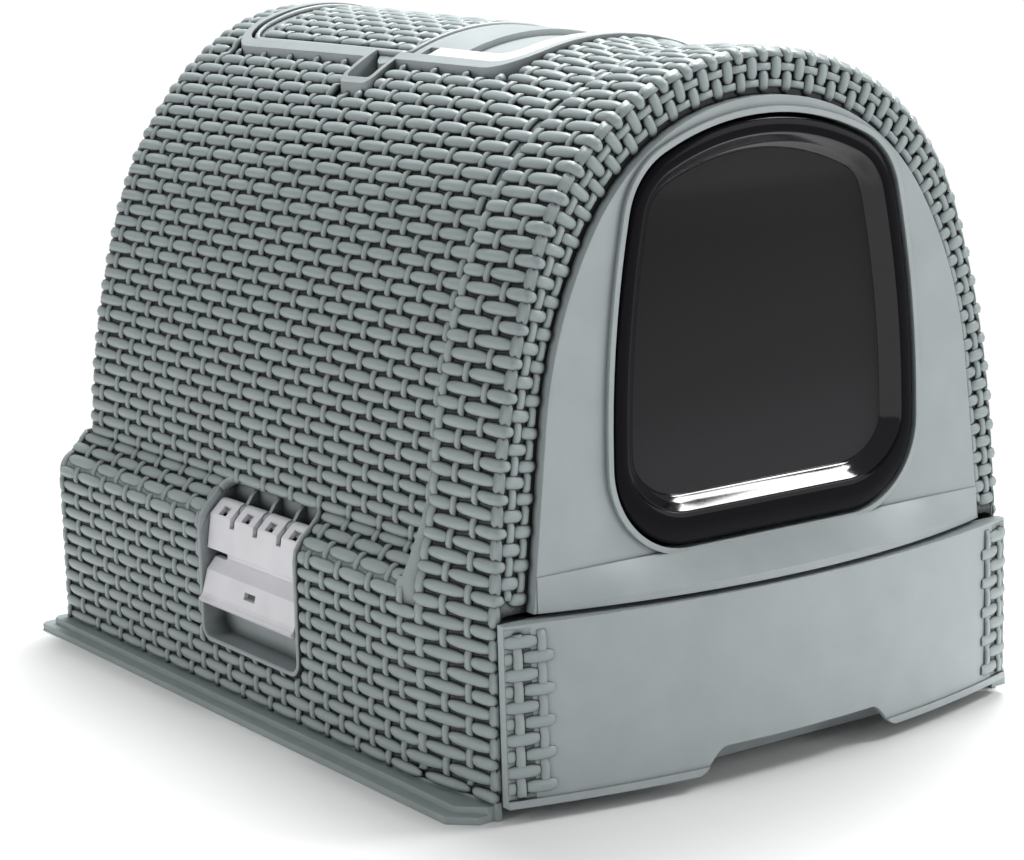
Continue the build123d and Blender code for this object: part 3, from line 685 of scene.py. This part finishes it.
def lid_border(material):
    """Smooth raised border round the lid's weave."""
    half, (front, rear), cut = BORDER_HALF, BORDER_Y, BORDER_CHAMFER
    path = [(-half, front + cut), (-half + cut, front), (half - cut, front), (half, front + cut)]
    path += corner_arc(half - BORDER_CORNER, rear - BORDER_CORNER, BORDER_CORNER, 0)
    path += corner_arc(-half + BORDER_CORNER, rear - BORDER_CORNER, BORDER_CORNER, 1)

    def place(x, y, up):
        return Vector((x, y, surface_z(x, y) + up))

    return raised_edge(path, 6, BORDER_PROFILE, place).piece("lid_border", "lid", "woven_plastic", material)


def drawer_y(x):
    """The bowed face of the drawer's front at x."""
    low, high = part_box("tray_front")
    end_x = high[0] / MM
    middle = low[1] / MM + DRAWER_LIP
    rise = DRAWER_END_Y - middle
    radius = (end_x * end_x + rise * rise) / (2 * rise)
    return middle + radius - math.sqrt(radius * radius - x * x)


def weave_drawer(side, material, under):
    """Woven strip at one end of the drawer's front: two stakes with strands over them in turn."""
    mesh = Mesh()
    end = "left" if side < 0 else "right"

    def place(x, v, h):
        return Vector((side * x, drawer_y(x) - h, STRIP_FOOT_Z + ROW * v))

    # A thin backing in the weave's base material, which carries painted shade, near black, in the gaps
    # between the strands.
    shell = []
    for k in range(9):
        x = mix(STRIP_INNER - 0.4, STRIP_OUTER, k / 8)
        shell.append([place(x, v, h) for v, h in ((-0.1, -0.4), (-0.1, 0.15), (10.45, 0.15), (10.45, -0.4))])
    backing = Mesh()
    backing.tube(shell)
    backing.piece(f"drawer_strip_shade_backing_{end}", "drawer", "woven_plastic", under, smooth=False)
    for row in range(STRIP_ROWS):
        v = row + 0.65
        if row % 2:
            pill(mesh, place, STRIP_FIRST + 2.4, STRIP_OUTER, v, top=DRAWER_PILL_TOP, blunt=True)
        else:
            pill(mesh, place, STRIP_INNER, STRIP_SECOND - 2.4, v, top=DRAWER_PILL_TOP, blunt=True)
            pill(mesh, place, STRIP_SECOND + 2.6, STRIP_OUTER, v, half=PILL_HALF * 0.9, top=1.2, blunt=True)
    for x, turn in ((STRIP_FIRST, 1), (STRIP_SECOND, 0)):
        stake(mesh, place, lambda v: x, 0.0, 10.4, lambda row: row % 2 == turn, half=2.3, top=1.9, low=0.8)
    return mesh.piece(f"weave_drawer_{end}", "drawer", "woven_plastic", material)


def door_ring(shrink):
    """Points of the door's outline, drawn in by an amount, all the way round."""
    runs = arch(*DOOR, [])
    total = sum(run[0] for run in runs)
    half = []
    for k in range(49):
        x, z, nx, nz = along(runs, total * k / 48)
        half.append((x - nx * shrink, z - nz * shrink))
    x = along(runs, total)[0]
    for k in range(1, 5):
        z = mix(along(runs, total)[1], DOOR_BOTTOM + DOOR_CORNER, k / 4)
        half.append((x - shrink, z))
    radius = DOOR_CORNER - shrink
    for k in range(1, 13):
        turn = math.pi / 2 * k / 12
        px = x - DOOR_CORNER + radius * math.cos(turn)
        half.append((px, DOOR_BOTTOM + DOOR_CORNER - radius * math.sin(turn)))
    half += [(mix(x - DOOR_CORNER, 0, k / 6), DOOR_BOTTOM + shrink) for k in range(1, 7)]
    return half + [(-px, pz) for px, pz in half[-2:0:-1]]


def flap_border(material, slope):
    """Glossy border of the flap: a rounded front edge, a flat, then a hollow slope back to the panel."""
    rings = []
    for shrink, y in FLAP_PROFILE:
        widen = FLAP_WIDEN * min(max((shrink - FLAP_WIDEN_FROM) / FLAP_WIDEN_OVER, 0.0), 1.0)
        ring = []
        for x, z in door_ring(shrink):
            low = min(max((FLAP_FOOT_Z - z) / FLAP_FOOT_RUN, 0.0), 1.0)
            ring.append(Vector((x, y, z + widen * low * low * (3 - 2 * low))))
        rings.append(ring)
    mesh = Mesh()
    count = len(rings[0])
    for ring in rings:
        mesh.points.extend(ring)
    for k in range(len(rings)):
        for j in range(count):
            a, b = k * count + j, k * count + (j + 1) % count
            c = ((k + 1) % len(rings)) * count
            mesh.faces.append((a, c + j, c + (j + 1) % count, b))
    piece = mesh.piece("flap_border", "flap", "gloss_black", material)
    piece.data.materials.append(slope)
    for polygon in piece.data.polygons:
        polygon.material_index = int(FLAP_SLOPE[0] <= polygon.index // count <= FLAP_SLOPE[1])
    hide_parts("flap_frame")
    return piece


def plastic(
    name, color, rough=0.42, grain=0.25, streak=None, dark=0.25, bevel=0.7, reach=3.0, closed=(0.25, 0.9),
    foot=None,
):
    """Moulded plastic: slight mottling, fine grain, soft edges, and painted shade where the surface is closed
    in.

    The painted shade darkens the colour to the share `dark` over a reach in millimetres, and not at all below
    the height `foot`.
    """
    made = bpy.data.materials.new(name)
    made.use_nodes = True
    nodes, links = made.node_tree.nodes, made.node_tree.links
    shader = nodes["Principled BSDF"]
    where = nodes.new("ShaderNodeTexCoord")
    scale = nodes.new("ShaderNodeMapping")
    scale.inputs["Scale"].default_value = streak or (1, 1, 1)
    links.new(where.outputs["Object"], scale.inputs["Vector"])
    fine = nodes.new("ShaderNodeTexNoise")
    fine.inputs["Scale"].default_value = 900
    fine.inputs["Detail"].default_value = 3
    links.new(scale.outputs["Vector"], fine.inputs["Vector"])
    wide = nodes.new("ShaderNodeTexNoise")
    wide.inputs["Scale"].default_value = 45
    links.new(where.outputs["Object"], wide.inputs["Vector"])
    tone = nodes.new("ShaderNodeMapRange")
    tone.inputs["To Min"].default_value = 0.90
    tone.inputs["To Max"].default_value = 1.10
    links.new(wide.outputs["Fac"], tone.inputs["Value"])
    base = nodes.new("ShaderNodeMix")
    base.data_type = "RGBA"
    base.blend_type = "MULTIPLY"
    base.inputs["Factor"].default_value = 1.0
    base.inputs["A"].default_value = (*color, 1)
    links.new(tone.outputs["Result"], base.inputs["B"])
    source = base.outputs["Result"]
    # Painted shade: ambient occlusion darkens the colour where the surface is closed in, in gaps, recesses
    # and under neighbouring parts.
    if dark < 1:
        close = nodes.new("ShaderNodeAmbientOcclusion")
        close.samples = 4
        close.inputs["Distance"].default_value = reach * MM
        painted_shade = nodes.new("ShaderNodeMapRange")
        painted_shade.inputs["From Min"].default_value = closed[0]
        painted_shade.inputs["From Max"].default_value = closed[1]
        painted_shade.inputs["To Min"].default_value = dark
        links.new(close.outputs["AO"], painted_shade.inputs["Value"])
        level = painted_shade.outputs["Result"]
        # No painted shade below the height foot.
        if foot:
            point = nodes.new("ShaderNodeNewGeometry")
            split = nodes.new("ShaderNodeSeparateXYZ")
            links.new(point.outputs["Position"], split.inputs["Vector"])
            low = nodes.new("ShaderNodeMath")
            low.operation = "LESS_THAN"
            low.inputs[1].default_value = foot * MM
            links.new(split.outputs["Z"], low.inputs[0])
            keep = nodes.new("ShaderNodeMath")
            keep.operation = "MAXIMUM"
            links.new(low.outputs["Value"], keep.inputs[0])
            links.new(level, keep.inputs[1])
            level = keep.outputs["Value"]
        deep = nodes.new("ShaderNodeMix")
        deep.data_type = "RGBA"
        deep.blend_type = "MULTIPLY"
        deep.inputs["Factor"].default_value = 1.0
        links.new(source, deep.inputs["A"])
        links.new(level, deep.inputs["B"])
        source = deep.outputs["Result"]
    links.new(source, shader.inputs["Base Color"])
    gloss = nodes.new("ShaderNodeMapRange")
    gloss.inputs["To Min"].default_value = rough - 0.07
    gloss.inputs["To Max"].default_value = rough + 0.07
    links.new(fine.outputs["Fac"], gloss.inputs["Value"])
    links.new(gloss.outputs["Result"], shader.inputs["Roughness"])
    bump = nodes.new("ShaderNodeBump")
    bump.inputs["Strength"].default_value = grain
    bump.inputs["Distance"].default_value = 0.0002
    links.new(fine.outputs["Fac"], bump.inputs["Height"])
    if bevel:
        soft = nodes.new("ShaderNodeBevel")
        soft.samples = 4
        soft.inputs["Radius"].default_value = bevel * MM
        links.new(soft.outputs["Normal"], bump.inputs["Normal"])
    links.new(bump.outputs["Normal"], shader.inputs["Normal"])
    shader.inputs["Specular IOR Level"].default_value = 0.45
    return made


def gloss_black(name, shine):
    """Polished black plastic."""
    made = plastic(name, (0.004, 0.004, 0.006), rough=0.11, grain=0.0, dark=1, bevel=0)
    made.node_tree.nodes["Principled BSDF"].inputs["Specular IOR Level"].default_value = shine
    return made


def smoked():
    """Dark panel, a little paler towards its foot, a painted reflection of the lights, and in a band along
    its top, painted light where a bevel catches it.
    """
    made = plastic("smoked_panel", (1, 1, 1), rough=0.30, grain=0.05, dark=1, bevel=0)
    nodes, links = made.node_tree.nodes, made.node_tree.links
    shader = nodes["Principled BSDF"]
    shader.inputs["Specular IOR Level"].default_value = 0.1
    where = nodes.new("ShaderNodeTexCoord")
    split = nodes.new("ShaderNodeSeparateXYZ")
    links.new(where.outputs["Generated"], split.inputs["Vector"])
    ramp = nodes.new("ShaderNodeValToRGB")
    links.new(split.outputs["Z"], ramp.inputs["Fac"])
    # Painted reflection and painted light: paler at the foot and in a band along the top, darkest between.
    painted_light_stops = ((0.0, 0.034), (0.35, 0.019), (0.75, 0.010), (0.86, 0.011), (0.90, 0.019), (1.0, 0.021))
    for place, tone in painted_light_stops[1:-1]:
        ramp.color_ramp.elements.new(place).color = (tone, tone, tone * 1.08, 1)
    elements = ramp.color_ramp.elements
    for element, (place, tone) in ((elements[0], painted_light_stops[0]), (elements[-1], painted_light_stops[-1])):
        element.position = place
        element.color = (tone, tone, tone * 1.08, 1)
    links.new(ramp.outputs["Color"], shader.inputs["Base Color"])
    return made


def materials():
    """Every material, by the name of its slot or of the place that it is for."""
    sage = (0.335, 0.375, 0.382)
    woven = (0.305, 0.355, 0.355)
    fibre = plastic("filter_fibre", (0.02, 0.02, 0.022), rough=0.9, grain=1.0, dark=0.5)
    fibre.node_tree.nodes["Principled BSDF"].inputs["Sheen Weight"].default_value = 0.3
    # All of these but the glossy blacks and the smoked panel carry painted shade where the surface is closed
    # in.
    return {
        # The strands' painted shade falls where they dive under the stakes and beside their neighbours.
        "strand": plastic(
            "strand", woven, rough=0.40, grain=0.7, streak=(1, 0.12, 1), dark=0.03, bevel=0, reach=5.0,
            closed=(0.42, 0.88),
        ),
        # The weave's backing carries painted shade, down to black, in the gaps between strands, but none on
        # the skirt below 9.5 mm.
        "woven_plastic": plastic(
            "woven_base_painted_shade", woven, rough=0.5, grain=0.3, dark=0.0, bevel=1.0, reach=9.0, closed=(0.78, 1.0),
            foot=9.5,
        ),
        "smooth_plastic": plastic("smooth_plastic", sage, rough=0.40, grain=0.18),
        # A copy of the smooth plastic with deeper painted shade, for the top rim's pocket and the latch
        # housings.
        "hollow": plastic("hollow", sage, rough=0.40, grain=0.18, dark=0.03, reach=16.0, closed=(0.38, 0.72)),
        "tray_plastic": plastic("tray_plastic", sage, rough=0.45, grain=0.2),
        "gloss_black": gloss_black("gloss_black", 0.07),
        "gloss_slope": gloss_black("gloss_slope", 0.45),
        "smoked_panel": smoked(),
        "latch_plastic": plastic("latch_plastic", (0.74, 0.74, 0.77), rough=0.36, grain=0.12, dark=0.4),
        "handle_plastic": plastic(
            "handle_plastic", (0.78, 0.81, 0.81), rough=0.36, grain=0.1, dark=0.6, bevel=1.2,
        ),
        "pin_plastic": plastic("pin_plastic", (0.05, 0.055, 0.06), rough=0.35, grain=0.1, dark=0.5),
        "filter_fibre": fibre,
    }


def dress_nodes(made):
    """Gives every carried-over CAD node the material of its slot; the top rim and the latch frames get the
    hollow material instead, a smooth plastic with deeper painted shade in their pockets.
    """
    slots = {part["node"]: part["material_slot"] for part in frame["record"]["subparts"]}
    for name, node in frame["nodes"].items():
        node.data.materials.clear()
        hollow = name == "top_rim" or name.startswith("latch_frame")
        node.data.materials.append(made["hollow" if hollow else slots[name]])


def camera():
    """The view from the front and left, a little above the top."""
    turn, rise, roll = math.radians(-34.68), math.radians(11.47), math.radians(-1.75)
    back = Vector((math.sin(turn) * math.cos(rise), -math.cos(turn) * math.cos(rise), math.sin(rise)))
    right = Vector((0, 0, 1)).cross(back).normalized()
    up = back.cross(right)
    tilted_right = right * math.cos(roll) + up * math.sin(roll)
    tilted_up = up * math.cos(roll) - right * math.sin(roll)
    data = bpy.data.cameras.new("camera")
    data.lens = 91.19
    data.sensor_width = 36
    data.clip_end = 20
    item = bpy.data.objects.new("camera", data)
    bpy.context.scene.collection.objects.link(item)
    axes = Matrix((tilted_right, tilted_up, back)).transposed().to_4x4()
    item.matrix_world = Matrix.Translation((-0.84806, -1.22409, 0.44138)) @ axes
    bpy.context.scene.camera = item


def area_light(name, place, target, size, power, tall=None):
    data = bpy.data.lights.new(name, "AREA")
    data.energy = power
    data.size = size
    if tall:
        data.shape = "RECTANGLE"
        data.size_y = tall
    item = bpy.data.objects.new(name, data)
    bpy.context.scene.collection.objects.link(item)
    item.location = place
    item.rotation_euler = (Vector(target) - Vector(place)).to_track_quat("-Z", "Y").to_euler()


def pale_floor():
    """White floor that takes the object's shadow near it and fades into the backdrop far off."""
    made = bpy.data.materials.new("floor")
    made.use_nodes = True
    nodes, links = made.node_tree.nodes, made.node_tree.links
    shader = nodes["Principled BSDF"]
    shader.inputs["Base Color"].default_value = (0.88, 0.88, 0.88, 1)
    shader.inputs["Roughness"].default_value = 0.9
    shader.inputs["Specular IOR Level"].default_value = 0.1
    place = nodes.new("ShaderNodeNewGeometry")
    reach = nodes.new("ShaderNodeVectorMath")
    reach.operation = "LENGTH"
    links.new(place.outputs["Position"], reach.inputs[0])
    fade = nodes.new("ShaderNodeMapRange")
    fade.interpolation_type = "SMOOTHSTEP"
    fade.inputs["From Min"].default_value = FLOOR_FADE[0]
    fade.inputs["From Max"].default_value = FLOOR_FADE[1]
    links.new(reach.outputs["Value"], fade.inputs["Value"])
    glow = nodes.new("ShaderNodeEmission")
    glow.inputs["Strength"].default_value = BACKDROP
    blend = nodes.new("ShaderNodeMixShader")
    links.new(fade.outputs["Result"], blend.inputs["Fac"])
    links.new(shader.outputs["BSDF"], blend.inputs[1])
    links.new(glow.outputs["Emission"], blend.inputs[2])
    links.new(blend.outputs["Shader"], nodes["Material Output"].inputs["Surface"])
    return made


def studio():
    """Pale floor and backdrop, soft lights from above, the front and the left, and a glint on the flap."""
    floor_mesh = bpy.data.meshes.new("floor")
    far = FLOOR_HALF
    corners = [(-far, -far, 0), (far, -far, 0), (far, far, 0), (-far, far, 0)]
    floor_mesh.from_pydata(corners, [], [(0, 1, 2, 3)])
    floor = bpy.data.objects.new("floor", floor_mesh)
    bpy.context.scene.collection.objects.link(floor)
    floor_mesh.materials.append(pale_floor())
    world = bpy.data.worlds.new("world")
    bpy.context.scene.world = world
    world.use_nodes = True
    nodes, links = world.node_tree.nodes, world.node_tree.links
    sky = nodes["Background"]
    sky.inputs["Color"].default_value = (1, 1, 1, 1)
    path = nodes.new("ShaderNodeLightPath")
    level = nodes.new("ShaderNodeMapRange")
    level.inputs["To Min"].default_value = WORLD_LIGHT
    level.inputs["To Max"].default_value = BACKDROP
    links.new(path.outputs["Is Camera Ray"], level.inputs["Value"])
    links.new(level.outputs["Result"], sky.inputs["Strength"])
    area_light("overhead", (0.65, 0.6, 2.1), (0, 0, 0.2), 1.2, 77)
    area_light("front", (2.0, -2.2, 0.8), (0, 0, 0.15), 1.2, 18)
    area_light("left", (-2.6, -0.4, 1.5), (0, 0, 0.2), 0.9, 12)
    area_light("flap glint", (1.02, -0.69, 1.29), (0, -0.22, 0.13), 0.46, 11, 0.26)
    bpy.context.scene.view_settings.view_transform = "Standard"


def main():
    camera()
    studio()
    made = materials()
    dress_nodes(made)
    strand = made["strand"]
    for side in (-1, 1):
        weave_roof(side, strand)
        weave_lower(side, strand)
        weave_drawer(side, strand, made["woven_plastic"])
    weave_band(strand)
    weave_rear(strand)
    weave_lid(strand)
    for side in (-1, 1):
        latch_edge(side, made["smooth_plastic"])
    lid_border(made["smooth_plastic"])
    flap_border(made["gloss_black"], made["gloss_slope"])


main()
